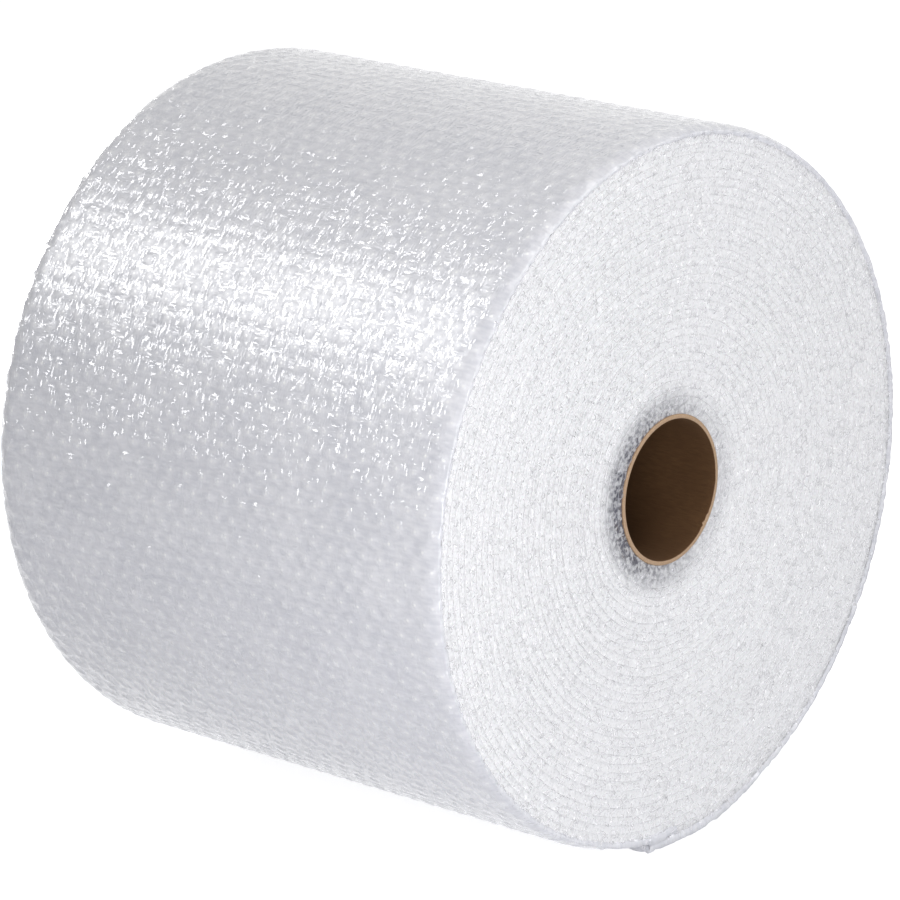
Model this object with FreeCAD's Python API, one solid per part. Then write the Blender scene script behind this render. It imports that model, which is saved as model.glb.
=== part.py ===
import FreeCAD, Part
import math
import os

# Roll of bubble cushioning film wound on a spiral paper tube, lying on its side as it comes to rest.
# The roll's axis lies along X, Z is up, and the origin is at the middle of the roll's footprint.
# Lengths are in millimetres and angles in degrees.

# Core: the stock tube that packing film is wound on
core_bore_diameter = 75.0
core_wall = 2.4
core_fit = 0.1

# Web: two films with a layer of small bubbles sealed between them
web_width = 304.8
web_thickness = 3.7
turn_gap = 0.9
wound_turns = 33.8
bubble_row_pitch = 9.5
row_rise = 0.45

# The web is stiff over its bubbles and bends between them, so a turn is a polygon of short flats.
# This is how far the middle of one flat lies inside the round line.
flat_depth = 0.42

# The edges of the turns don't line up: each turn stands in by up to this much at one end or the other
edge_wander = 0.9
wander_step = 137.5

# Rest: a soft roll flattens a little where it lies, and its loose end is tucked under that flat
rest_flat_width = 40.0

# The winding is a little uneven, so the outside isn't centred on the core
outside_shift_y = 5.5
outside_shift_z = -3.4

# Worked out from the sizes above
core_outer_radius = core_bore_diameter / 2 + core_wall
web_bore_radius = core_outer_radius + core_fit
turn_pitch = web_thickness + turn_gap
tail_radius = web_bore_radius + web_thickness + turn_pitch * (wound_turns - 1)
down = -90.0
rest_half_angle = math.degrees(math.asin(rest_flat_width / 2 / tail_radius))
tail_angle = down - rest_half_angle


def turn_radius(turn):
    """Radius of the web's outer face after so many turns."""
    return web_bore_radius + web_thickness + turn_pitch * (turn - 1)


def turn_angle(turn):
    """Direction of the web after so many turns: it winds clockwise, seen from the +X end."""
    return tail_angle + 360 * (wound_turns - turn)


def shift_share(radius):
    """Share of the outside's shift at a radius: none at the core, all of it outside."""
    return (radius - web_bore_radius) / (tail_radius - web_bore_radius)


def rest_level(radius):
    """Height of a turn's flattened underside, measured from the core's axis."""
    share = shift_share(radius)
    outside_depth = tail_radius - math.sqrt(tail_radius ** 2 - (rest_flat_width / 2) ** 2)
    return share * outside_shift_z - radius + share * outside_depth


def web_point(turn, lift=0.0):
    """Point on the web's outer face, or lifted off it, as (y, z) from the core's axis."""
    radius = turn_radius(turn) + lift
    angle = math.radians(turn_angle(turn))
    share = shift_share(radius)
    y = radius * math.cos(angle) + share * outside_shift_y
    z = radius * math.sin(angle) + share * outside_shift_z
    turns_past_bottom = (turn_angle(turn) - down) / 360
    bottom_turn = turn + turns_past_bottom - round(turns_past_bottom)
    return y, max(z, rest_level(turn_radius(bottom_turn) + lift))


def flat_corners(first_turn, last_turn, lift):
    """Corners of the flats from one turn to another, each flat as long as its depth allows."""
    mean_radius = turn_radius((first_turn + last_turn) / 2) + lift
    flat_share = math.acos(1 - flat_depth / mean_radius) / math.pi
    flats = math.ceil((last_turn - first_turn) / flat_share)
    step = (last_turn - first_turn) / flats
    return [web_point(first_turn + step * flat, lift) for flat in range(flats + 1)]


def row_arcs(first_turn, last_turn):
    """Valley, crest and next valley of each row of bubbles on the outermost turn."""
    mean_radius = turn_radius((first_turn + last_turn) / 2)
    rows = round(2 * math.pi * mean_radius * (last_turn - first_turn) / bubble_row_pitch)
    step = (last_turn - first_turn) / rows
    arcs = []
    for row in range(rows):
        start = first_turn + row * step
        ends = web_point(start, -row_rise), web_point(start + step, -row_rise)
        arcs.append((ends[0], web_point(start + step / 2), ends[1]))
    return arcs


def place_of_axis(arcs):
    """The core axis's (y, z) when the roll's footprint is centred on the origin."""
    reach = [crest[0] for start, crest, end in arcs]
    bottom_turn = wound_turns - rest_half_angle / 360
    return -(max(reach) + min(reach)) / 2, -rest_level(turn_radius(bottom_turn))


class Section:
    """Places section points on an end face and joins them into edges."""

    def __init__(self, axis, x):
        self.axis = axis
        self.x = x

    def vector(self, point):
        return FreeCAD.Vector(self.x, self.axis[0] + point[0], self.axis[1] + point[1])

    def lines(self, points):
        corners = [self.vector(point) for point in points]
        return [Part.LineSegment(a, b).toShape() for a, b in zip(corners, corners[1:])]

    def arc(self, points):
        return Part.Arc(*[self.vector(point) for point in points]).toShape()

    def circle(self, radius):
        return Part.makeCircle(radius, self.vector((0, 0)), FreeCAD.Vector(1, 0, 0))


def turn_ends(index):
    """How far a turn stands in at the far and the near end; the outermost turn stands in at neither."""
    wander = edge_wander * math.sin(math.radians(wander_step * index))
    return max(wander, 0.0), max(-wander, 0.0)


def extrude_turn(axis, index, edge_maker, bore_radius=None):
    """One turn of the web, or the closed first turn with its bore."""
    far_in, near_in = turn_ends(index)
    section = Section(axis, -web_width / 2 + far_in)
    wires = [Part.Wire(edge_maker(section))]
    if bore_radius:
        wires.append(Part.Wire(section.circle(bore_radius)))
    face = Part.makeFace(wires, "Part::FaceMakerBullseye")
    return face.extrude(FreeCAD.Vector(web_width - far_in - near_in, 0, 0))


def first_turn(axis, index, last):
    """The closed turn round the core and the stretch of web that leaves it."""
    outer = flat_corners(1, last, 0.0)
    inner = flat_corners(1, last - 1, turn_gap)
    return extrude_turn(axis, index, lambda s: s.lines(outer + inner[::-1] + outer[:1]), web_bore_radius)


def inner_turn(axis, index, start):
    """One turn in the roll, from its inner face to its outer face."""
    outer = flat_corners(start, start + 1, 0.0)
    inner = flat_corners(start, start + 1, -web_thickness)
    return extrude_turn(axis, index, lambda s: s.lines(outer + inner[::-1] + outer[:1]))


def outer_turn(axis, index, start, arcs):
    """The outermost turn: rows of bubbles outside, the flat that it rests on and the loose end."""
    inner = flat_corners(start, wound_turns, -web_thickness)
    level = -axis[1]
    middle = shift_share(tail_radius) * outside_shift_y
    flat = [(middle + rest_flat_width / 2, level), (middle - rest_flat_width / 2, level)]

    def edges(section):
        rows = [section.arc(arc) for arc in arcs]
        rest = section.lines([arcs[-1][2]] + flat + inner[::-1] + [arcs[0][0]])
        return rows + rest

    return extrude_turn(axis, index, edges)


def make_web(axis, arcs):
    """The whole web as one solid, with the slit between its turns open from end to end."""
    whole_turns = math.floor(wound_turns - 1)
    turns = [outer_turn(axis, 0, wound_turns - 1, arcs)]
    for index in range(1, whole_turns - 1):
        turns.append(inner_turn(axis, index, wound_turns - 1 - index))
    turns.append(first_turn(axis, whole_turns - 1, wound_turns - whole_turns + 1))
    return turns[0].multiFuse(turns[1:]).Solids[0]


def make_core(axis):
    """The paper tube, cut square and flush with the web."""
    section = Section(axis, -web_width / 2)
    rings = [Part.Wire(section.circle(r)) for r in (core_outer_radius, core_bore_diameter / 2)]
    face = Part.makeFace(rings, "Part::FaceMakerBullseye")
    return face.extrude(FreeCAD.Vector(web_width, 0, 0))


row_places = row_arcs(wound_turns - 1, wound_turns - 2 * rest_half_angle / 360)
axis_place = place_of_axis(row_places)
pieces = {"bubble_web": make_web(axis_place, row_places), "core_tube": make_core(axis_place)}

os.makedirs("parts", exist_ok=True)
for name, shape in pieces.items():
    shape.exportStep(f"parts/{name}.step")
    print(name, shape.ShapeType, "valid", shape.isValid(), "volume", round(shape.Volume))
print("core axis at y", round(axis_place[0], 3), "z", round(axis_place[1], 3))
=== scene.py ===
# %% [markdown]
# A roll of bubble film. The web is two clear polyethylene films with air sealed in small round
# bubbles between them, and it is wound on a spiral paper tube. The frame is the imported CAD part:
# its axis lies along X, Z is up, and it rests on the floor at z = 0. Everything below is built in
# that frame, in metres, so a piece goes where the CAD says. The outside of the roll, its two ends
# and the tube are each built as their own mesh and stand for the two CAD nodes.

# %% Load the frame
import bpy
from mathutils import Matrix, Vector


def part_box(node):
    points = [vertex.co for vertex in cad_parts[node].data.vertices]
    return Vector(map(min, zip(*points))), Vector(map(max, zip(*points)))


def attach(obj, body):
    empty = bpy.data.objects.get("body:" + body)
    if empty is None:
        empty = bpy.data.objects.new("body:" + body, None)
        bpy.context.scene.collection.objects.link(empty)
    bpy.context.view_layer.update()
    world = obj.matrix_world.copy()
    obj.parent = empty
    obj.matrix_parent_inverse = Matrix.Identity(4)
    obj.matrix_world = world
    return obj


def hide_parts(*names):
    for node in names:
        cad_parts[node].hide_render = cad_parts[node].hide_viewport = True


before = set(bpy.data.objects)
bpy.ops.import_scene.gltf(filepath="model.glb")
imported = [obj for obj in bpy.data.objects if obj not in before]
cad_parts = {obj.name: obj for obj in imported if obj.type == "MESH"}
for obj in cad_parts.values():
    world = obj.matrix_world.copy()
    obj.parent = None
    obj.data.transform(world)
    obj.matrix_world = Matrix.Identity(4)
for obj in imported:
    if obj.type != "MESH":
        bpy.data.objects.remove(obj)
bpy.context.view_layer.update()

# %% Import what the cells use
import math

import bpy
import numpy as np
from mathutils import Vector

MM = 0.001

# %% [markdown]
# The winding is an Archimedean spiral: each turn lies one web thickness and a little air outside
# the one before. The outside has settled off centre, and the underside is pressed flat where the
# roll bears its weight. These are the sizes of the real goods: a tube of 75 mm bore, a web 304.8 mm
# wide with small bubbles of about 9 mm. The radii and the axis are read from the frame.

# %% Measure the tube and the web
core_low, core_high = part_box("core_tube")
web_low, web_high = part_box("bubble_web")
half_width = (web_high.x - web_low.x) / 2
axis_y, axis_z = (core_low.y + core_high.y) / 2, (core_low.z + core_high.z) / 2
core_outer_radius = (core_high.z - core_low.z) / 2
core_wall = 2.4 * MM
web_bore_radius = core_outer_radius + 0.1 * MM
web_thickness = 3.7 * MM
turn_pitch = web_thickness + 0.9 * MM
wound_turns = 33.8
tail_radius = web_bore_radius + web_thickness + turn_pitch * (wound_turns - 1)
rest_half_width = 20 * MM
outside_shift = (5.5 * MM, -3.4 * MM)
row_pitch = 9.5 * MM
bubble_pitch = 11 * MM
bubble_radius = 4.6 * MM
row_rise = 0.45 * MM
print(f"tube radius {core_outer_radius / MM:.2f} mm, outermost turn {tail_radius / MM:.2f} mm")


# %% Follow the winding
rest_half_angle = math.asin(rest_half_width / tail_radius)
tail_angle = -math.pi / 2 - rest_half_angle
rest_depth = tail_radius - math.sqrt(tail_radius ** 2 - rest_half_width ** 2)


def winding(turn, lift=0.0):
    """Place (y, z) on the web's outer face after so many turns, or lifted off it, and its direction."""
    turn, lift = np.broadcast_arrays(np.asarray(turn, float), lift)
    angle = tail_angle + 2 * math.pi * (wound_turns - turn)
    radius = web_bore_radius + web_thickness + turn_pitch * (turn - 1) + lift
    past_bottom = (angle + math.pi / 2) / (2 * math.pi)
    bottom_radius = radius + turn_pitch * (past_bottom - np.round(past_bottom))

    def share(value):
        return (value - web_bore_radius) / (tail_radius - web_bore_radius)

    y = radius * np.cos(angle) + share(radius) * outside_shift[0]
    z = radius * np.sin(angle) + share(radius) * outside_shift[1]
    level = share(bottom_radius) * (outside_shift[1] + rest_depth) - bottom_radius
    return axis_y + y, axis_z + np.maximum(z, level), angle


def lengths_along(turns, lift=0.0):
    """Distance along the web from the first of these turns to each of them."""
    y, z = winding(turns, lift)[:2]
    return np.concatenate([[0], np.cumsum(np.hypot(np.diff(y), np.diff(z)))])


web_turns = np.linspace(1, wound_turns, 20000)
web_lengths = lengths_along(web_turns)
print(f"web wound on the roll: {web_lengths[-1]:.1f} m")


# %% [markdown]
# Every film is a grid of points: one direction follows the winding, the other runs along the
# roll's axis. A grid keeps two distances at each point, around the roll and along it, so that the
# bubbles of the mesh and those of the material fall on the same places.

# %% Make a mesh from a grid of points
def grid_mesh(name, points, around, along):
    """Mesh of a grid of points, with its two distances as a UV map and as point attributes."""
    rows, columns = points.shape[:2]
    index = np.arange(rows * columns).reshape(rows, columns)
    faces = np.stack([index[:-1, :-1], index[:-1, 1:], index[1:, 1:], index[1:, :-1]], -1).reshape(-1, 4)
    mesh = bpy.data.meshes.new(name)
    mesh.from_pydata(points.reshape(-1, 3).tolist(), [], faces.tolist())
    around, along = (np.broadcast_to(v, (rows, columns)).ravel() for v in (around, along))
    corners = np.empty(len(mesh.loops), np.int32)
    mesh.loops.foreach_get("vertex_index", corners)
    places = np.stack([around[corners], along[corners]], -1)
    layer = mesh.uv_layers.new(name="film")
    layer.data.foreach_set("uv", places.ravel().astype(np.float32))
    for label, values in (("around", around), ("along", along)):
        attribute = mesh.attributes.new(label, "FLOAT", "POINT")
        attribute.data.foreach_set("value", values.astype(np.float32))
    mesh.shade_smooth()
    return mesh


def new_object(name, mesh):
    """Object for a mesh, linked to the scene."""
    made = bpy.data.objects.new(name, mesh)
    bpy.context.scene.collection.objects.link(made)
    return made


# %% [markdown]
# Materials and geometry are both node trees here. One function adds a node, sets it up and links
# it, and another turns the sRGB hex value of a colour into the linear numbers that Blender wants.
# An input is given by its name, or by its place where several share a name. In Map Range, places 1
# and 2 are the range that comes in and 3 and 4 the range that goes out. In Mix, places 6 and 7 are
# the two colours and output 2 their mix, and for vectors these are places 4 and 5 and output 1.

# %% Add nodes and colours
def fill_sockets(tree, node, values):
    """Fills a node's inputs, by name or place, with values or links."""
    for socket, value in values.items():
        if isinstance(value, bpy.types.NodeSocket):
            tree.links.new(value, node.inputs[socket])
        else:
            node.inputs[socket].default_value = value


def add_node(tree, kind, inputs=None, **settings):
    """Adds a node, applies its settings, and fills its inputs with values or links."""
    node = tree.nodes.new(kind)
    for label, value in settings.items():
        setattr(node, label, value)
    fill_sockets(tree, node, inputs or {})
    return node


def new_material(name):
    """New material with nodes, and its tree."""
    material = bpy.data.materials.new(name)
    material.use_nodes = True
    return material, material.node_tree


def colour(hex_value):
    """Linear RGBA of an sRGB hex colour."""
    shares = [int(hex_value[i:i + 2], 16) / 255 for i in (1, 3, 5)]
    return [s / 12.92 if s <= 0.04045 else ((s + 0.055) / 1.055) ** 2.4 for s in shares] + [1]


# %% [markdown]
# The bubbles lie in rows, and each row is moved half a bubble against the next one, as in a
# honeycomb. Both the mesh and the material need the distance from the nearest bubble's middle.
# Math nodes work in both kinds of tree, so one function builds the pattern for both.

# %% Lay out the bubbles
def bubble_pattern(tree, around, along):
    """Sockets of the distance from the nearest bubble's middle and of that bubble's cell."""
    place = add_node(tree, "ShaderNodeCombineXYZ", {0: around, 1: along}).outputs[0]
    cells = add_node(tree, "ShaderNodeVectorMath", {0: place, 1: (row_pitch, bubble_pitch, 1)},
                     operation="DIVIDE").outputs[0]
    row = add_node(tree, "ShaderNodeSeparateXYZ", {0: cells}).outputs[0]
    whole_row = add_node(tree, "ShaderNodeMath", {0: row}, operation="FLOOR").outputs[0]
    odd = add_node(tree, "ShaderNodeMath", {0: whole_row, 1: 2.0}, operation="FLOORED_MODULO").outputs[0]
    half = add_node(tree, "ShaderNodeMath", {0: odd, 1: 0.5}, operation="MULTIPLY").outputs[0]
    shift = add_node(tree, "ShaderNodeCombineXYZ", {1: half}).outputs[0]
    moved = add_node(tree, "ShaderNodeVectorMath", {0: cells, 1: shift}, operation="ADD").outputs[0]
    cell = add_node(tree, "ShaderNodeVectorMath", {0: moved}, operation="FLOOR").outputs[0]
    inside = add_node(tree, "ShaderNodeVectorMath", {0: moved}, operation="FRACTION").outputs[0]
    centred = add_node(tree, "ShaderNodeVectorMath", {0: inside, 1: (0.5, 0.5, 0)},
                       operation="SUBTRACT").outputs[0]
    offset = add_node(tree, "ShaderNodeVectorMath", {0: centred, 1: (row_pitch, bubble_pitch, 0)},
                      operation="MULTIPLY").outputs[0]
    distance = add_node(tree, "ShaderNodeVectorMath", {0: offset}, operation="LENGTH").outputs["Value"]
    return distance, cell


# %% [markdown]
# Clear polyethylene film, blown and then vacuum formed. One film is as clear as glass, but the
# roll is dozens of films deep, so light scatters back from inside and the whole looks milky white
# with a cool tint. The outer film is drawn tight over the bubbles and creased into small flat
# facets, and each flashes when it faces a lamp. In the Principled shader the coat stands for this
# gloss, and the base, with a gentler bump, for the milky depth below it. A lamp's glint on a
# bubble's crown is smaller than a pixel, so it is painted as a white dot, a painted highlight,
# coarse enough to show.

# %% Lay noise on the film
def in_cells(tree, place, around, along):
    """Place on the film, counted in cells of this size round the roll and along it."""
    return add_node(tree, "ShaderNodeVectorMath", {0: place, 1: (1 / around, 1 / along, 1)},
                    operation="MULTIPLY").outputs[0]


def stretched_noise(tree, place, around, along, **inputs):
    """Noise whose grain is so long round the roll and so long along it."""
    cells = in_cells(tree, place, around, along)
    return add_node(tree, "ShaderNodeTexNoise", {"Vector": cells, "Scale": 1.0, **inputs}).outputs[0]


# %% [markdown]
# Each bubble has a crown, a small round cap where it presses on the film, and round it a low dome
# that holds more or less air. A cap is the top of a sphere, so its height is the root of what is
# left of 1 after the square of the distance from its middle.

# %% Shape the bubbles under the film
crown_radius = 2.3 * MM
crown_edge = 0.25
crown_heights = (0.9 * MM, 1.5 * MM)
dome_heights = (0.1 * MM, 0.7 * MM)


def bubble_relief(tree, distance, dome, chance):
    """Sockets of a bubble's height and of whether the film lies on its crown."""
    share = add_node(tree, "ShaderNodeMath", {0: distance, 1: crown_radius}, operation="DIVIDE").outputs[0]
    square = add_node(tree, "ShaderNodeMath", {0: share, 1: share}, operation="MULTIPLY").outputs[0]
    left = add_node(tree, "ShaderNodeMath", {0: 1.0, 1: square}, operation="SUBTRACT").outputs[0]
    kept = add_node(tree, "ShaderNodeMath", {0: left, 1: crown_edge}, operation="MAXIMUM").outputs[0]
    cap = add_node(tree, "ShaderNodeMath", {0: kept}, operation="SQRT").outputs[0]
    cap_height = add_node(tree, "ShaderNodeMapRange", {
        0: chance.outputs["Value"], 3: crown_heights[0], 4: crown_heights[1]}).outputs[0]
    crown = add_node(tree, "ShaderNodeMath", {0: cap, 1: cap_height}, operation="MULTIPLY").outputs[0]
    air = add_node(tree, "ShaderNodeMapRange", {
        0: chance.outputs["Color"], 3: dome_heights[0], 4: dome_heights[1]}).outputs[0]
    height = add_node(tree, "ShaderNodeMath", {0: dome, 1: air, 2: crown},
                      operation="MULTIPLY_ADD").outputs[0]
    on_crown = add_node(tree, "ShaderNodeMath", {0: left, 1: crown_edge},
                        operation="GREATER_THAN").outputs[0]
    return height, on_crown


# %% [markdown]
# Creases cut the tight film into small flat facets, in places long round the roll and in places
# long along it. Each cell of a Voronoi texture has one random colour, which serves as the tilt of
# one facet. A tilt times its own size makes most facets nearly level and a few steep. The crowns
# are free of facets.

# %% Crease the film
facet_round = (2.8 * MM, 0.95 * MM)
facet_along = (0.9 * MM, 3.4 * MM)
facet_patch = 9 * MM
along_share = 0.56
facet_steepness = (0.24, 0.1, 0)


def crease_facets(tree, uv, on_crown):
    """Socket of the facets' tilts, as the colour that a Normal Map node reads."""
    patches = stretched_noise(tree, uv, facet_patch, facet_patch, Detail=1.0)
    lies_along = add_node(tree, "ShaderNodeMath", {0: patches, 1: along_share},
                          operation="GREATER_THAN").outputs[0]
    place = add_node(tree, "ShaderNodeMix", {
        0: lies_along, 4: in_cells(tree, uv, *facet_round), 5: in_cells(tree, uv, *facet_along)},
                     data_type="VECTOR").outputs[1]
    facet = add_node(tree, "ShaderNodeTexVoronoi", {"Vector": place, "Scale": 1.0}).outputs["Color"]
    tilt = add_node(tree, "ShaderNodeVectorMath", {0: facet, 1: (2, 2, 2), 2: (-1, -1, -1)},
                    operation="MULTIPLY_ADD").outputs[0]
    tilt_size = add_node(tree, "ShaderNodeVectorMath", {0: tilt}, operation="ABSOLUTE").outputs[0]
    few_steep = add_node(tree, "ShaderNodeVectorMath", {0: tilt_size, 1: tilt},
                         operation="MULTIPLY").outputs[0]
    off_crown = add_node(tree, "ShaderNodeMath", {0: 1.0, 1: on_crown}, operation="SUBTRACT").outputs[0]
    kept = add_node(tree, "ShaderNodeVectorMath", {0: few_steep, "Scale": off_crown},
                    operation="SCALE").outputs[0]
    return add_node(tree, "ShaderNodeVectorMath", {0: kept, 1: facet_steepness, 2: (0.5, 0.5, 1)},
                    operation="MULTIPLY_ADD").outputs[0]


# %% [markdown]
# The white has cloudy patches a few centimetres wide, where more or fewer films lie close
# together. Short lighter and darker dashes along the roll are painted highlights and painted shade
# of the bubbles below. Each bubble on top has a lighter middle, painted shade that darkens the film
# between the bubbles, and on its crown a white dot, a painted highlight of a lamp, fainter on a
# slack bubble.

# %% Tint the film, with painted highlights and shade
cloud_size = 35 * MM
dash_around, dash_along = 2.4 * MM, 6.5 * MM
painted_dash_contrast = 1.6
painted_dome_shading = 0.4
glint_dot_radii = (0.5 * MM, 1.0 * MM)
faintest_glint_dot = 0.35


def milky_white_and_painted_light(tree, uv, distance, dome, chance):
    """Socket of the film's colour: the milky white of many films, with painted highlights and painted
    shade of the bubbles.
    """
    clouds = stretched_noise(tree, uv, cloud_size, cloud_size, Detail=3.0)
    # painted highlights and painted shade: short lighter and darker dashes along the roll
    painted_light_dashes = stretched_noise(tree, uv, dash_around, dash_along, Detail=1.0)
    painted_dash_part = add_node(tree, "ShaderNodeMath", {0: painted_light_dashes, 1: painted_dash_contrast, 2: -painted_dash_contrast / 2},
                         operation="MULTIPLY_ADD").outputs[0]
    clouded = add_node(tree, "ShaderNodeMath", {0: clouds, 1: painted_dash_part}, operation="ADD").outputs[0]
    # painted shade: each bubble's middle is lighter and the film between the bubbles darker
    clouds_and_painted_light = add_node(tree, "ShaderNodeMath", {0: dome, 1: painted_dome_shading, 2: clouded},
                       operation="MULTIPLY_ADD").outputs[0]
    tint = add_node(tree, "ShaderNodeMix", {0: clouds_and_painted_light, 6: colour("#D0D1D9"), 7: colour("#EAEAEF")},
                    data_type="RGBA").outputs[2]
    # painted highlight: a white dot on each bubble's crown, where a lamp glints
    glint_dot = add_node(tree, "ShaderNodeMapRange", {
        0: distance, 1: glint_dot_radii[0], 2: glint_dot_radii[1], 3: 1.0, 4: 0.0},
                   interpolation_type="SMOOTHSTEP").outputs[0]
    tight = add_node(tree, "ShaderNodeMapRange", {
        0: chance.outputs["Value"], 3: faintest_glint_dot, 4: 1.0}).outputs[0]
    glint_dot_part = add_node(tree, "ShaderNodeMath", {0: glint_dot, 1: tight}, operation="MULTIPLY").outputs[0]
    return add_node(tree, "ShaderNodeMix", {0: glint_dot_part, 6: tint, 7: colour("#FFFFFF")},
                    data_type="RGBA").outputs[2]


# %% Mix the clear polyethylene film
crease_around, crease_along = 5 * MM, 1.6 * MM
gloss_crease, soft_crease = 0.12 * MM, 0.05 * MM
soft_facet_strength = 0.3


def creased_normal(tree, facets, strength, height):
    """Socket of the normal of the facets at this strength, with the height on top."""
    normal = add_node(tree, "ShaderNodeNormalMap", {"Color": facets, "Strength": strength},
                      space="TANGENT", uv_map="film").outputs[0]
    return add_node(tree, "ShaderNodeBump", {
        "Strength": 1.0, "Distance": 1.0, "Height": height, "Normal": normal}).outputs[0]


def wound_film_material():
    material, tree = new_material("clear_polyethylene_film_wound")
    uv = add_node(tree, "ShaderNodeUVMap", uv_map="film").outputs[0]
    split = add_node(tree, "ShaderNodeSeparateXYZ", {0: uv})
    distance, cell = bubble_pattern(tree, split.outputs[0], split.outputs[1])
    chance = add_node(tree, "ShaderNodeTexWhiteNoise", {"Vector": cell}, noise_dimensions="3D")
    dome = add_node(tree, "ShaderNodeMapRange", {0: distance, 1: 0.0, 2: bubble_radius, 3: 1.0, 4: 0.0},
                    interpolation_type="SMOOTHERSTEP").outputs[0]
    bubble, on_crown = bubble_relief(tree, distance, dome, chance)
    facets = crease_facets(tree, uv, on_crown)
    creases = stretched_noise(tree, uv, crease_around, crease_along,
                              Detail=1.0, Roughness=0.5, Distortion=0.3)
    gloss_height = add_node(tree, "ShaderNodeMath", {0: creases, 1: gloss_crease, 2: bubble},
                            operation="MULTIPLY_ADD").outputs[0]
    soft_height = add_node(tree, "ShaderNodeMath", {0: creases, 1: soft_crease},
                           operation="MULTIPLY").outputs[0]
    fill_sockets(tree, tree.nodes["Principled BSDF"], {
        "Base Color": milky_white_and_painted_light(tree, uv, distance, dome, chance), "Roughness": 0.33, "IOR": 1.5,
        "Normal": creased_normal(tree, facets, soft_facet_strength, soft_height),
        "Coat Weight": 1.0, "Coat Roughness": 0.04, "Coat IOR": 1.5,
        "Coat Normal": creased_normal(tree, facets, 1.0, gloss_height)})
    return material


wound_film = wound_film_material()
print("material", wound_film.name, len(wound_film.node_tree.nodes), "nodes")

# %% [markdown]
# At the ends the web is slit across its bubbles, so one looks into open half bubbles and at the
# bare edges of the films. A single slit film lets half of the light past, which keeps the walls
# between the cups from drawing dark rings. Behind them lies the depth of many layers, which is
# opaque.

# %% Paint shade on the film at the tube
shade_ring_width = 20 * MM
least_shade = 0.3
speckle_size = 2.5 * MM


def painted_shade_at_tube(tree, place, speckle):
    """Socket of the painted shade on the film near the tube, where few clear layers lie in front of the
    dark tube, darker on the -y side.
    """
    from_axis = add_node(tree, "ShaderNodeVectorMath", {0: place, 1: (0, axis_y, axis_z)},
                         operation="SUBTRACT").outputs[0]
    split = add_node(tree, "ShaderNodeSeparateXYZ", {0: from_axis})
    across = add_node(tree, "ShaderNodeCombineXYZ", {1: split.outputs[1], 2: split.outputs[2]}).outputs[0]
    radius = add_node(tree, "ShaderNodeVectorMath", {0: across}, operation="LENGTH").outputs["Value"]
    shade_ring = add_node(tree, "ShaderNodeMapRange", {
        0: radius, 1: web_bore_radius, 2: web_bore_radius + shade_ring_width, 3: 1.0, 4: 0.0},
        interpolation_type="SMOOTHSTEP").outputs[0]

    # the painted shade is darker on the -y side of the tube
    sideways = add_node(tree, "ShaderNodeMath", {0: split.outputs[1], 1: radius},
                        operation="DIVIDE").outputs[0]
    shaded_side = add_node(tree, "ShaderNodeMapRange", {
        0: sideways, 1: -1.0, 2: 0.6, 3: 1.0, 4: least_shade}).outputs[0]
    even = add_node(tree, "ShaderNodeMath", {0: shade_ring, 1: shaded_side}, operation="MULTIPLY").outputs[0]
    patchy = add_node(tree, "ShaderNodeMapRange", {
        0: speckle, 1: 0.4, 2: 0.6, 3: 0.55, 4: 1.3}).outputs[0]
    return add_node(tree, "ShaderNodeMath", {0: even, 1: patchy}, operation="MULTIPLY").outputs[0]


# %% Mix the film of the slit ends
slit_facet_size = 1.1 * MM
slit_facet_tilt = 0.6


def slit_film_material(name, cover, shade_colour):
    """Film that covers this share of what lies behind it, with this colour of painted shade at the tube.
    """
    material, tree = new_material(name)
    place = add_node(tree, "ShaderNodeTexCoord").outputs["Object"]
    speckle = add_node(tree, "ShaderNodeTexNoise", {
        "Vector": place, "Scale": 1 / speckle_size, "Detail": 2.0}).outputs[0]
    white = add_node(tree, "ShaderNodeMix", {0: speckle, 6: colour("#F2F2F5"), 7: colour("#FBFBFC")},
                     data_type="RGBA").outputs[2]
    # painted shade: near the tube the film is greyed towards the given colour
    tint = add_node(tree, "ShaderNodeMix", {
        0: painted_shade_at_tube(tree, place, speckle), 6: white, 7: colour(shade_colour)}, data_type="RGBA").outputs[2]
    facet = add_node(tree, "ShaderNodeTexVoronoi", {
        "Vector": place, "Scale": 1 / slit_facet_size}).outputs["Color"]
    tilt = add_node(tree, "ShaderNodeVectorMath", {
        0: facet, 1: (2 * slit_facet_tilt,) * 3, 2: (-slit_facet_tilt,) * 3},
                    operation="MULTIPLY_ADD").outputs[0]
    outward = add_node(tree, "ShaderNodeNewGeometry").outputs["Normal"]
    tilted = add_node(tree, "ShaderNodeVectorMath", {0: outward, 1: tilt}, operation="ADD").outputs[0]
    facets = add_node(tree, "ShaderNodeVectorMath", {0: tilted}, operation="NORMALIZE").outputs[0]
    fill_sockets(tree, tree.nodes["Principled BSDF"], {
        "Base Color": tint, "Roughness": 0.6, "IOR": 1.05, "Alpha": cover,
        "Coat Weight": 1.0, "Coat Roughness": 0.06, "Coat IOR": 1.5, "Coat Normal": facets})
    return material


# the last colour is the painted shade at the tube
slit_film = slit_film_material("clear_polyethylene_film_slit", 0.45, "#CFD0D8")
deep_film = slit_film_material("clear_polyethylene_film_many_layers", 1.0, "#5C5C66")
print("materials", slit_film.name, "and", deep_film.name, len(slit_film.node_tree.nodes), "nodes each")

# %% [markdown]
# The outermost turn is what one sees of the roll's side. Python lays the smooth film along the
# winding, with its edges drawn in at both ends, where the slit bubbles have no air and the film
# curls down. Close to the floor the roll's own weight presses the edges out again. The last points
# fold under at the loose end, which lies beneath the roll.

# %% Curl the edges in
samples_per_bubble = 5
column_step = bubble_pitch / samples_per_bubble
rim_width, rim_drop = 9 * MM, 2.4 * MM
hem_x, hem_drop = np.array([1.1, 0.4]) * MM, np.array([5.0, 3.7]) * MM


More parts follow.
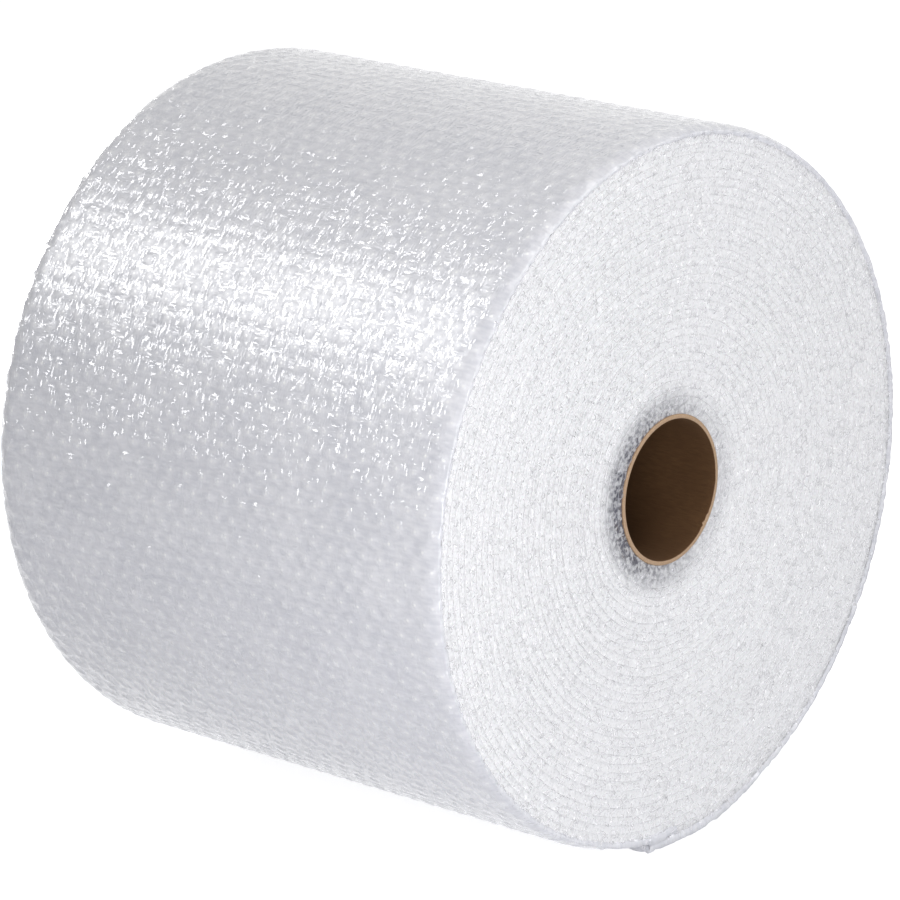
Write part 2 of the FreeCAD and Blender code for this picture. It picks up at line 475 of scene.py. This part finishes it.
def rim_profile():
    """(x, drop) of the film's columns from the far edge to the near edge, with both edges curled in."""
    columns = np.arange(-half_width, half_width - column_step / 2, column_step)
    x = np.append(columns, half_width)
    inward = np.clip(1 - (half_width - np.abs(x)) / rim_width, 0, 1)
    drop = rim_drop * inward ** 2
    return (np.concatenate([-half_width + hem_x, x, (half_width - hem_x)[::-1]]),
            np.concatenate([hem_drop, drop, hem_drop[::-1]]))


film_x, film_drop = rim_profile()
print("film columns", len(film_x), "of them", 2 * len(hem_x), "in the hems")

# %% Lay the outermost turn
outer_start = wound_turns - 1.02
pressed_height, pressed_share = 15 * MM, 0.2
outer_length = lengths_along(np.linspace(outer_start, wound_turns, 4000))[-1]
outer_rows = round(outer_length / (row_pitch / samples_per_bubble))
turns = np.linspace(outer_start, wound_turns, outer_rows + 1)
fold_lift = np.array([0.6, 1.6, 2.7, 3.6, 3.7, 3.7]) * MM
fold_back = np.array([0, 0, 0, 0, 0.004, 0.012])
turns = np.concatenate([turns, wound_turns - fold_back])
lift = np.concatenate([np.zeros(outer_rows + 1), fold_lift]) + row_rise
height = winding(turns)[1]
drawn_in = np.clip(height / pressed_height, pressed_share, 1)[:, None]
drop = np.where(film_drop > rim_drop, 1.0, drawn_in) * film_drop
y, z = winding(turns[:, None], -lift[:, None] - drop)[:2]
points = np.stack([np.broadcast_to(film_x, y.shape), y, z], -1)
around = np.arange(len(turns)) * row_pitch / samples_per_bubble
outer_mesh = grid_mesh("outer_film_grid", points, around[:, None], film_x[None, :])
print("outer film grid", points.shape, "rows", outer_rows / samples_per_bubble)


# %% [markdown]
# The bubbles press into the outer film from below and lift it in low round pillows. Geometry
# Nodes raise each point of the grid by its distance from the nearest bubble. The heights and the
# pitches are inputs of the tree, so another bubble size is a change of a number.

# %% Run a geometry tree
def tree_with_inputs(name, inputs):
    """New geometry tree with these inputs beside the mesh, and the sockets of all its inputs."""
    tree = bpy.data.node_groups.new(name, "GeometryNodeTree")
    tree.interface.new_socket("Geometry", in_out="INPUT", socket_type="NodeSocketGeometry")
    tree.interface.new_socket("Geometry", in_out="OUTPUT", socket_type="NodeSocketGeometry")
    for label, kind in inputs.items():
        tree.interface.new_socket(label, in_out="INPUT", socket_type=kind)
    tree.nodes.new("NodeGroupOutput")
    return tree, tree.nodes.new("NodeGroupInput").outputs


def finished_mesh(base, tree, values):
    """Runs the tree on the base object and gives the object the plain mesh that results."""
    modifier = base.modifiers.new("build", "NODES")
    modifier.node_group = tree
    names = {item.name: item.identifier for item in tree.interface.items_tree if item.in_out == "INPUT"}
    for label, value in values.items():
        modifier[names[label]] = value
    bpy.context.view_layer.update()
    evaluated = base.evaluated_get(bpy.context.evaluated_depsgraph_get())
    mesh = bpy.data.meshes.new_from_object(evaluated)
    base.modifiers.clear()
    base.data = mesh
    mesh.calc_loop_triangles()
    print(base.name, len(mesh.loop_triangles), "triangles")
    return base


def random_push(tree, place, grain, middle):
    """Socket of a random vector: noise of this grain, less its middle value."""
    noise = add_node(tree, "ShaderNodeTexNoise", {"Vector": place, "Scale": 1 / grain, "Detail": 1.0})
    return add_node(tree, "ShaderNodeVectorMath", {0: noise.outputs["Color"], 1: middle},
                    operation="SUBTRACT").outputs[0]


def put_out(tree, geometry, place):
    """Moves the points to their places, none past the input Farthest, and gives out the film."""
    given, end = tree.nodes["Group Input"].outputs, tree.nodes["Group Output"]
    within = add_node(tree, "ShaderNodeVectorMath", {0: place, 1: given["Farthest"]},
                      operation="MINIMUM").outputs[0]
    least = add_node(tree, "ShaderNodeVectorMath", {0: given["Farthest"], "Scale": -1.0},
                     operation="SCALE").outputs[0]
    kept = add_node(tree, "ShaderNodeVectorMath", {0: within, 1: least}, operation="MAXIMUM").outputs[0]
    placed = add_node(tree, "GeometryNodeSetPosition", {"Geometry": geometry, "Position": kept})
    painted = add_node(tree, "GeometryNodeSetMaterial", {
        "Geometry": placed.outputs[0], "Material": given["Film"]})
    tree.links.new(painted.outputs[0], end.inputs[0])


# %% Raise the film over its bubbles
crumple_width = 10 * MM
crumple_grain = 4 * MM


def pillow_tree():
    tree, given = tree_with_inputs("pillows_over_bubbles", {
        "Rise": "NodeSocketFloat", "Bubble radius": "NodeSocketFloat", "Unevenness": "NodeSocketFloat",
        "Rim crumple": "NodeSocketFloat", "Farthest": "NodeSocketVector", "Film": "NodeSocketMaterial"})
    around, along = (add_node(tree, "GeometryNodeInputNamedAttribute", {"Name": label},
                              data_type="FLOAT").outputs[0] for label in ("around", "along"))
    distance, cell = bubble_pattern(tree, around, along)
    share = add_node(tree, "ShaderNodeMath", {0: distance, 1: given["Bubble radius"]},
                     operation="DIVIDE").outputs[0]
    square = add_node(tree, "ShaderNodeMath", {0: share, 1: share}, operation="MULTIPLY").outputs[0]
    pillow = add_node(tree, "ShaderNodeMath", {0: 1.0, 1: square},
                      operation="SUBTRACT", use_clamp=True).outputs[0]
    chance = add_node(tree, "ShaderNodeTexWhiteNoise", {"Vector": cell}, noise_dimensions="3D")
    fill = add_node(tree, "ShaderNodeMath", {0: chance.outputs["Value"], 1: given["Unevenness"]},
                    operation="MULTIPLY").outputs[0]
    full = add_node(tree, "ShaderNodeMath", {0: 1.0, 1: fill}, operation="SUBTRACT").outputs[0]
    height = add_node(tree, "ShaderNodeMath", {0: pillow, 1: full}, operation="MULTIPLY").outputs[0]
    raised = add_node(tree, "ShaderNodeMath", {0: height, 1: given["Rise"]},
                      operation="MULTIPLY").outputs[0]
    normal = add_node(tree, "GeometryNodeInputNormal").outputs[0]
    offset = add_node(tree, "ShaderNodeVectorMath", {0: normal, "Scale": raised},
                      operation="SCALE").outputs[0]

    # close to the slit edges the film has no air under it and is crumpled
    place = add_node(tree, "GeometryNodeInputPosition").outputs[0]
    from_middle = add_node(tree, "ShaderNodeMath", {0: along}, operation="ABSOLUTE").outputs[0]
    at_rim = add_node(tree, "ShaderNodeMapRange", {
        0: from_middle, 1: half_width - crumple_width, 2: half_width - MM, 3: 0.0,
        4: given["Rim crumple"]}, interpolation_type="SMOOTHSTEP").outputs[0]
    push = random_push(tree, place, crumple_grain, (0.62, 0.5, 0.5))
    dent = add_node(tree, "ShaderNodeVectorMath", {0: normal, 1: push},
                    operation="DOT_PRODUCT").outputs["Value"]
    inward = add_node(tree, "ShaderNodeMath", {0: dent}, operation="ABSOLUTE").outputs[0]
    depth = add_node(tree, "ShaderNodeMath", {0: inward, 1: at_rim}, operation="MULTIPLY").outputs[0]
    crumple = add_node(tree, "ShaderNodeVectorMath", {0: normal, "Scale": depth},
                       operation="SCALE").outputs[0]
    moved = add_node(tree, "ShaderNodeVectorMath", {0: offset, 1: crumple},
                     operation="SUBTRACT").outputs[0]
    new_place = add_node(tree, "ShaderNodeVectorMath", {0: place, 1: moved}, operation="ADD").outputs[0]
    put_out(tree, given["Geometry"], new_place)
    return tree


# beyond the end faces nothing may stand; round the roll the limit is far out
farthest = (half_width, 1.0, 1.0)
outer_film = finished_mesh(new_object("outer_film", outer_mesh), pillow_tree(), {
    "Rise": row_rise, "Bubble radius": bubble_radius + 0.3 * MM, "Unevenness": 0.5,
    "Rim crumple": 2.5 * MM, "Farthest": farthest, "Film": wound_film})

# %% [markdown]
# At each end of the roll one sees the web's slit edge: the flat film as a thin spiral line, and on
# its inner side the slit bubbles, one after another. Where the knife went through a bubble there
# is an open half cup; between two cups the films are pressed together in a small fold that bulges
# out a little below the edge. Cup and fold are two small meshes.

# %% Shape a slit bubble and a fold
slit_size, fold_size = (6.4 * MM, 3.8 * MM), (4.6 * MM, 3.4 * MM)
slit_steps = [(0.0, 1.0), (0.9 * MM, 0.97), (2.0 * MM, 0.75), (2.6 * MM, 0.2)]
fold_steps = [(0.2 * MM, 0.4), (0.6 * MM, 0.8), (1.5 * MM, 1.0), (2.6 * MM, 0.8)]


def bubble_mesh(name, side, profile, width, height, arch_steps=4):
    """Thin arch that goes into the roll by the (depth, size) steps of its profile."""
    angle = np.linspace(0, math.pi, arch_steps + 1)
    fullness, sag = 0.8, 0.3
    arch = np.stack([-np.cos(angle) * width / 2, -np.sin(angle) ** fullness * height], -1)
    points = [[(-side * depth, size * a, size * b - (1 - size) * sag * height) for a, b in arch]
              for depth, size in profile]
    index = np.arange(len(profile) * (arch_steps + 1)).reshape(len(profile), -1)
    quads = [(index[i, j], index[i, j + 1], index[i + 1, j + 1], index[i + 1, j])
             for i in range(len(profile) - 1) for j in range(arch_steps)]
    if side < 0:
        quads = [q[::-1] for q in quads]
    mesh = bpy.data.meshes.new(name)
    corners = [corner for ring in points for corner in ring]
    mesh.from_pydata(corners, [], [tuple(int(v) for v in q) for q in quads])
    mesh.shade_smooth()
    return mesh


# %% [markdown]
# Geometry Nodes set a cup and a fold for each bubble row along the winding, about 5,200 at each
# end. Random sizes and leans keep the turns from looking stamped. The film's own edge is a narrow
# strip along the same path and joins the cups in the tree.

# %% Place the cups along the winding
slit_crumple_grain = 2.6 * MM


def slit_edge_tree():
    tree, given = tree_with_inputs("slit_bubbles_along_winding", {
        "Slit bubble": "NodeSocketObject", "Fold": "NodeSocketObject", "Film edge": "NodeSocketObject",
        "Lean": "NodeSocketFloat", "Smallest": "NodeSocketFloat", "Largest": "NodeSocketFloat",
        "Crumple": "NodeSocketFloat", "Farthest": "NodeSocketVector", "Seed": "NodeSocketInt",
        "Film": "NodeSocketMaterial"})
    heading = add_node(tree, "GeometryNodeInputNamedAttribute", {"Name": "heading"},
                       data_type="FLOAT").outputs[0]
    odd = add_node(tree, "GeometryNodeInputNamedAttribute", {"Name": "odd"},
                   data_type="BOOLEAN").outputs[0]
    upright = add_node(tree, "ShaderNodeCombineXYZ", {0: heading}).outputs[0]
    back = add_node(tree, "ShaderNodeMath", {0: given["Lean"], 1: -1.0}, operation="MULTIPLY").outputs[0]
    lean = add_node(tree, "FunctionNodeRandomValue", {
        "Min": back, "Max": given["Lean"], "Seed": given["Seed"]}, data_type="FLOAT_VECTOR").outputs[0]
    turned = add_node(tree, "ShaderNodeVectorMath", {0: upright, 1: lean}, operation="ADD").outputs[0]
    rotation = add_node(tree, "FunctionNodeEulerToRotation", {0: turned}).outputs[0]
    size = add_node(tree, "FunctionNodeRandomValue", {
        "Min": given["Smallest"], "Max": given["Largest"], "Seed": given["Seed"]},
        data_type="FLOAT_VECTOR").outputs[0]
    even = add_node(tree, "FunctionNodeBooleanMath", {0: odd}, operation="NOT").outputs[0]
    parts = add_node(tree, "GeometryNodeJoinGeometry")
    for which, label in ((odd, "Slit bubble"), (even, "Fold")):
        shape = add_node(tree, "GeometryNodeObjectInfo", {"Object": given[label]})
        cups = add_node(tree, "GeometryNodeInstanceOnPoints", {
            "Points": given["Geometry"], "Selection": which,
            "Instance": shape.outputs["Geometry"], "Rotation": rotation, "Scale": size})
        tree.links.new(cups.outputs[0], parts.inputs[0])
    edge = add_node(tree, "GeometryNodeObjectInfo", {"Object": given["Film edge"]})
    tree.links.new(edge.outputs["Geometry"], parts.inputs[0])
    real = add_node(tree, "GeometryNodeRealizeInstances", {0: parts.outputs[0]})

    # the thin film is crumpled all over, and no edge stands out past the end of the roll
    place = add_node(tree, "GeometryNodeInputPosition").outputs[0]
    push = random_push(tree, place, slit_crumple_grain, (0.5, 0.5, 0.5))
    dent = add_node(tree, "ShaderNodeVectorMath", {0: push, "Scale": given["Crumple"]},
                    operation="SCALE").outputs[0]
    dented = add_node(tree, "ShaderNodeVectorMath", {0: place, 1: dent}, operation="ADD").outputs[0]
    put_out(tree, real.outputs[0], dented)
    return tree


slit_edges = slit_edge_tree()
print("tree", slit_edges.name, len(slit_edges.nodes), "nodes")

# %% Find the bubble rows on the winding
row_lengths = np.arange(0.5, 2 * web_lengths[-1] / row_pitch) * row_pitch / 2
row_turns = np.interp(row_lengths, web_lengths, web_turns)
inner_rows = int((row_turns < wound_turns - 1).sum())
print(len(row_turns), "bubbles and folds,", inner_rows, "of them inside the outermost turn")


def edge_inset(turn, seed):
    """How far the slit edge stands in from the end face: uneven all over, and more at the rim."""
    chance = np.random.default_rng(seed)
    waves = chance.uniform(0, 2 * math.pi, 6)
    rates = np.array([0.37, 1.13, 2.9, 7.3, 17.0, 41.0])
    uneven = np.sin(turn[..., None] * rates * 2 * math.pi + waves).sum(-1) / 6
    rim = np.exp(-np.clip(wound_turns - 1 - turn, 0, None) / 1.2)
    near_tube = np.clip((turn - 1) / 3, 0.15, 1)
    return (0.5 * MM + 0.4 * MM * uneven) * near_tube + 0.5 * MM * rim


# %% [markdown]
# Three meshes feed each end: a point for each cup or fold, with its heading; the flat film's edge,
# a strip that goes a little way in; and the white depth behind the cups, a band from each turn to
# the one inside it, which keeps one from looking into the hollow mesh.

# %% Set out the points, the edge and the depth
cup_under_film, cup_under_rim = 0.15 * MM, 3.7 * MM
cup_jitter, most_jitter, jitter_at_rim = 0.8 * MM, 1.4 * MM, 0.3
turn_jitter = 0.0008


def row_points(name, side, seed):
    """Mesh of a point for each cup or fold, with its heading and whether it is a cup."""
    under = np.where(np.arange(len(row_turns)) < inner_rows, cup_under_film, cup_under_rim)
    chance = np.random.default_rng(seed)
    jitter = np.clip(chance.normal(0, cup_jitter, len(row_turns)), -most_jitter, most_jitter)
    jitter[inner_rows:] *= jitter_at_rim
    y, z, angle = winding(row_turns + chance.normal(0, turn_jitter, len(row_turns)), jitter - under)
    x = side * (half_width - edge_inset(row_turns, seed))
    mesh = bpy.data.meshes.new(name)
    mesh.from_pydata(np.stack([x, y, z], -1).tolist(), [], [])
    mesh.attributes.new("heading", "FLOAT", "POINT").data.foreach_set(
        "value", (angle - math.pi / 2).astype(np.float32))
    mesh.attributes.new("odd", "BOOLEAN", "POINT").data.foreach_set(
        "value", np.arange(len(row_turns)) % 2 == 1)
    return mesh


def film_edge(name, side, seed):
    """The flat film's edge along the winding, a strip that goes a few millimetres into the roll."""
    count = 3 * inner_rows // 2
    turn = np.interp(np.linspace(0, row_lengths[inner_rows - 1], count), web_lengths, web_turns)
    ripple = np.random.default_rng(seed).normal(0, 0.12 * MM, count)
    depths, fade = np.array([0, 0.8, 2.5]) * MM, np.array([1.0, 0.4, 0.0])
    proud, under = 0.2 * MM, 0.2 * MM
    inset = edge_inset(turn, seed)[:, None] - proud + depths
    y, z = winding(turn[:, None], ripple[:, None] * fade - under)[:2]
    points = np.stack([side * (half_width - inset), y, z], -1)
    if side < 0:
        points = points[:, ::-1]
    return grid_mesh(name, points, turn[:, None], np.abs(points[..., 0]))


def end_floor(name, side, seed):
    """The white depth behind the slit bubbles, a band between each turn and the one inside it."""
    steps = 1800
    turn = np.interp(np.linspace(0, web_lengths[-1] - outer_length, steps), web_lengths, web_turns)
    to_tube = -(web_thickness + turn_pitch * (turn - 1))
    overlap = 0.5 * MM
    inward = np.where(turn < 2, to_tube, -turn_pitch - overlap)
    y, z = winding(turn[:, None], np.stack([turn * 0, inward], -1))[:2]
    behind = np.array([0.5, 0.7]) * MM
    depth = np.stack([edge_inset(turn, seed), edge_inset(turn - 1, seed)], -1) + behind
    points = np.stack([side * (half_width - depth), y, z], -1)
    if side > 0:
        points = points[:, ::-1]
    return grid_mesh(name, points, turn[:, None], np.array([0.0, 1.0])[None, :])


# %% Build both ends
def build_end(name, side, seed):
    """The slit edge of one end. Its three helper objects go again once the mesh is made."""
    helpers = {"Slit bubble": bubble_mesh("slit_bubble", side, slit_steps, *slit_size),
               "Fold": bubble_mesh("fold", side, fold_steps, *fold_size),
               "Film edge": film_edge("film_edge", side, seed)}
    helpers = {label: new_object(mesh.name, mesh) for label, mesh in helpers.items()}
    made = finished_mesh(new_object(name, row_points(name, side, seed)), slit_edges, {
        **helpers, "Lean": 0.4, "Smallest": 0.65, "Largest": 1.35, "Crumple": 2.2 * MM,
        "Farthest": farthest, "Seed": seed, "Film": slit_film})
    for helper in helpers.values():
        bpy.data.objects.remove(helper)
    return made


near_side, far_side = (1, 11), (-1, 23)
ends = [build_end("near_slit_end", *near_side), build_end("far_slit_end", *far_side)]
for name, place in (("near_end_depth", near_side), ("far_end_depth", far_side)):
    depth_mesh = end_floor(name, *place)
    depth_mesh.materials.append(deep_film)
    ends.append(new_object(name, depth_mesh))
print("end pieces", [piece.name for piece in ends])

# %% [markdown]
# The tube is spiral-wound kraft paperboard: strips of brown paper glued over each other at a
# slant, so a seam runs round the bore like a screw thread. Its brown is painted darker than kraft,
# painted shade for the dark inside of the bore. It was cut with a knife, which leaves a paler rim
# with raised fibres and, at one place, a small torn nick. The fibres lie mostly along the tube;
# real ones are far finer, so they are drawn as coarse as they need to show.

# %% Mix the kraft paperboard
fibre_length, fibre_width, fibre_height = 6 * MM, 0.8 * MM, 0.15 * MM
blotch_size = 14 * MM


def paperboard_material():
    material, tree = new_material("spiral_wound_kraft_paperboard")
    place = add_node(tree, "ShaderNodeTexCoord").outputs["Object"]
    fibres = add_node(tree, "ShaderNodeVectorMath", {
        0: place, 1: (1 / fibre_length, 1 / fibre_width, 1 / fibre_width)},
        operation="MULTIPLY").outputs[0]
    fibre = add_node(tree, "ShaderNodeTexNoise", {
        "Vector": fibres, "Scale": 1.0, "Detail": 4.0}).outputs[0]
    blotch = add_node(tree, "ShaderNodeTexNoise", {
        "Vector": place, "Scale": 1 / blotch_size, "Detail": 3.0}).outputs[0]
    cut = add_node(tree, "ShaderNodeAttribute", attribute_name="rim").outputs["Fac"]
    # painted shade: the brown is darker than kraft paper, for the shade inside the bore
    bore = add_node(tree, "ShaderNodeMix", {0: fibre, 6: colour("#432E1B"), 7: colour("#725336")},
                    data_type="RGBA").outputs[2]
    shaded_mottled_brown = add_node(tree, "ShaderNodeMix", {0: blotch, 6: bore, 7: colour("#543A23")},
                       data_type="RGBA").outputs[2]
    pale = add_node(tree, "ShaderNodeMix", {0: fibre, 6: colour("#A08266"), 7: colour("#D3B699")},
                    data_type="RGBA").outputs[2]
    tint = add_node(tree, "ShaderNodeMix", {0: cut, 6: shaded_mottled_brown, 7: pale}, data_type="RGBA").outputs[2]
    height = add_node(tree, "ShaderNodeMath", {0: fibre, 1: fibre_height}, operation="MULTIPLY").outputs[0]
    bump = add_node(tree, "ShaderNodeBump", {
        "Strength": 1.0, "Distance": 1.0, "Height": height}).outputs[0]
    fill_sockets(tree, tree.nodes["Principled BSDF"], {
        "Base Color": tint, "Normal": bump, "Roughness": 0.85, "Specular IOR Level": 0.25})
    return material


paperboard = paperboard_material()
print("material", paperboard.name, len(paperboard.node_tree.nodes), "nodes")


# %% [markdown]
# The tube is a profile turned round the axis. The seam is a shallow groove where the turn and the
# place along the axis add up to a whole number. The nick is a ragged dent in the rim's inner edge.

# %% Draw the tube's profile
rim_bevel, burr = 0.35 * MM, 0.1 * MM
bore_steps, outside_steps, outside_margin = 60, 12, 4 * MM


def tube_profile():
    """(x, radius, share of cut rim) along the bore, over the near rim and back outside."""
    inner, outer = core_outer_radius - core_wall, core_outer_radius
    bore_x = np.linspace(-half_width + rim_bevel, half_width - rim_bevel, bore_steps)
    rim = [(half_width - burr, inner + burr, 0.2), (half_width, inner + rim_bevel, 1.0),
           (half_width, outer - rim_bevel, 1.0), (half_width - rim_bevel, outer, 0.6)]
    far_rim = [(-x, radius, cut) for x, radius, cut in rim[::-1]]
    bore = [(x, inner, 0.0) for x in bore_x]
    outside_end = half_width - outside_margin
    outside = [(x, outer, 0.0) for x in np.linspace(outside_end, -outside_end, outside_steps)]
    return np.array(bore + rim + outside + far_rim + bore[:1])


# %% Turn the tube
tube_steps = 160
seam_lead, seam_width, seam_depth = 150 * MM, 1.2 * MM, 0.35 * MM
nick_angle, nick_half, nick_depth = math.radians(-39), math.radians(7), 1.1 * MM


def tube_nick(x, radius, angle):
    """How far the nick dents the rim at each angle and place on the profile."""
    from_nick = (angle + math.pi) % (2 * math.pi) - math.pi - nick_angle
    near = np.exp(-(from_nick / nick_half) ** 2)
    ragged = 1 + 0.5 * np.sin(angle * 61) + 0.4 * np.sin(angle * 97 + 1)
    on_rim = (x > half_width - 0.5 * MM) & (radius < core_outer_radius - 0.5 * MM)
    return nick_depth * near * ragged * on_rim


def tube_mesh():
    profile = tube_profile()
    angle = np.linspace(0, 2 * math.pi, tube_steps + 1)[:, None]
    x, radius, cut = profile.T
    shape = (tube_steps + 1, len(profile))
    turn_place = x / seam_lead + angle / (2 * math.pi)
    from_seam = np.abs(turn_place - np.round(turn_place)) * seam_lead
    in_bore = radius < core_outer_radius - core_wall / 2
    groove = seam_depth * np.exp(-(from_seam / seam_width) ** 2) * in_bore
    nick = tube_nick(x, radius, angle)
    reach = radius + groove + 0.5 * nick
    points = np.stack([np.broadcast_to(x, shape) - np.clip(nick, 0, None),
                       axis_y + reach * np.cos(angle), axis_z + reach * np.sin(angle)], -1)
    mesh = grid_mesh("paper_tube", points, angle * core_outer_radius, x[None, :])
    attribute = mesh.attributes.new("rim", "FLOAT", "POINT")
    attribute.data.foreach_set("value", np.broadcast_to(cut, shape).ravel().astype(np.float32))
    mesh.materials.append(paperboard)
    return mesh


tube = new_object("paper_tube", tube_mesh())
print("tube", len(tube.data.polygons), "faces")

# %% [markdown]
# Each piece rides on the part's one body, and the CAD node that it stands for is hidden.

# %% Hand the pieces to the frame
for piece in [outer_film] + ends:
    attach(piece, "root")
    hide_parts("bubble_web")
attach(tube, "root")
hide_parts("core_tube")

# %% [markdown]
# The studio is a white room. What the camera, the gloss and the clear film see of it is plain
# white, and a softer grey light falls on the roll from all round. The floor is matt and pale; seen
# in the same ways it is lifted to white, and the shade under the roll stays.

# %% Make the room
def seen_directly(tree):
    """Socket that is 1 for the camera and for what is seen in a gloss or through a film."""
    path = add_node(tree, "ShaderNodeLightPath")
    in_gloss = add_node(tree, "ShaderNodeMath", {
        0: path.outputs["Is Camera Ray"], 1: path.outputs["Is Glossy Ray"]},
        operation="MAXIMUM").outputs[0]
    return add_node(tree, "ShaderNodeMath", {0: in_gloss, 1: path.outputs["Is Transmission Ray"]},
                    operation="MAXIMUM").outputs[0]


def room_light(strength):
    world = bpy.data.worlds.new("white_room")
    bpy.context.scene.world = world
    world.use_nodes = True
    tree = world.node_tree
    seen = seen_directly(tree)
    level = add_node(tree, "ShaderNodeMapRange", {0: seen, 3: strength, 4: 1.0}).outputs[0]
    fill_sockets(tree, tree.nodes["Background"], {"Color": colour("#FFFFFF"), "Strength": level})


room_light(0.31)


# %% Lay the floor
floor_half = 12.0
floor_grain = 40.0
floor_lift = 0.85


def floor_material():
    material, tree = new_material("matt_white_floor")
    grain = add_node(tree, "ShaderNodeTexNoise", {"Scale": floor_grain}).outputs[0]
    tint = add_node(tree, "ShaderNodeMix", {0: grain, 6: colour("#BCBDC2"), 7: colour("#C2C3C8")},
                    data_type="RGBA").outputs[2]
    lift = add_node(tree, "ShaderNodeMath", {0: seen_directly(tree), 1: floor_lift},
                    operation="MULTIPLY").outputs[0]
    fill_sockets(tree, tree.nodes["Principled BSDF"], {
        "Base Color": tint, "Roughness": 0.9, "Emission Color": colour("#FFFFFF"),
        "Emission Strength": lift})
    return material


floor_mesh = bpy.data.meshes.new("floor")
floor_mesh.from_pydata([(-floor_half, -floor_half, 0), (floor_half, -floor_half, 0),
                        (floor_half, floor_half, 0), (-floor_half, floor_half, 0)], [], [(0, 1, 2, 3)])
floor_mesh.materials.append(floor_material())
floor = new_object("floor", floor_mesh)

# %% [markdown]
# Six lamps light the roll. A softbox stands to the left of the camera, beyond the far end, and
# its mirror image is the bright band along the side; it lights the gloss only, so the white below
# doesn't burn out. A soft light close to the front end lights the side and falls off towards the
# far end. One from above lights the top, a weak one fills the front, one from the right evens out
# the front end, and one behind the roll keeps the back from going dark.

# %% Set the lamps
roll_middle = Vector((0, axis_y + outside_shift[0], axis_z + outside_shift[1]))


def soft_lamp(name, toward, distance, size, watts):
    """Square area lamp that looks at the roll's middle."""
    lamp = bpy.data.lights.new(name, "AREA")
    lamp.shape, lamp.size, lamp.energy = "SQUARE", size, watts
    made = new_object(name, lamp)
    direction = Vector(toward).normalized()
    made.location = roll_middle + direction * distance
    made.rotation_euler = direction.to_track_quat("Z", "Y").to_euler()
    return made


band = soft_lamp("band_softbox", (-0.62, -0.49, 0.61), 2.2, 0.8, 20.0)
band.visible_diffuse = False
soft_lamp("side_light", (0.75, -0.78, 0.1), 1.1, 0.5, 5.0)
soft_lamp("top_light", (0.5, 0.0, 1.3), 1.4, 0.8, 5.2)
soft_lamp("fill_light", (0.8, -0.7, 1.0), 1.5, 0.8, 0.8)
soft_lamp("end_light", (1.2, 1.0, 0.5), 1.64, 0.55, 4.2)
soft_lamp("back_light", (-1.3, 0.45, 0.0), 1.6, 0.6, 7.0)

# %% [markdown]
# The camera stands where the photographer stood: 40 degrees round from the side and 16 degrees
# up, nearly 2.7 m away with a long lens. The two shifts place the roll in the frame as cropped.

# %% Set the camera
camera_azimuth, camera_height = math.radians(40.469), math.radians(16.297)
camera_aim, camera_distance = Vector((0, 0.0004, 0.1935)), 2.687
focal_pixels, image_size, picture_centre = 5014.9, 900, (454.996, 439.539)
back = Vector((math.sin(camera_azimuth) * math.cos(camera_height),
               -math.cos(camera_azimuth) * math.cos(camera_height), math.sin(camera_height)))
camera = new_object("camera", bpy.data.cameras.new("camera"))
camera.data.sensor_width = 36
camera.data.lens = focal_pixels / image_size * camera.data.sensor_width
camera.data.shift_x = (image_size / 2 - picture_centre[0]) / image_size
camera.data.shift_y = (picture_centre[1] - image_size / 2) / image_size
camera.location = camera_aim + back * camera_distance
camera.rotation_euler = back.to_track_quat("Z", "Y").to_euler()
camera.data.clip_end = 100
bpy.context.scene.camera = camera
bpy.context.scene.view_settings.view_transform = "Standard"
print("camera at", tuple(round(part, 3) for part in camera.location))
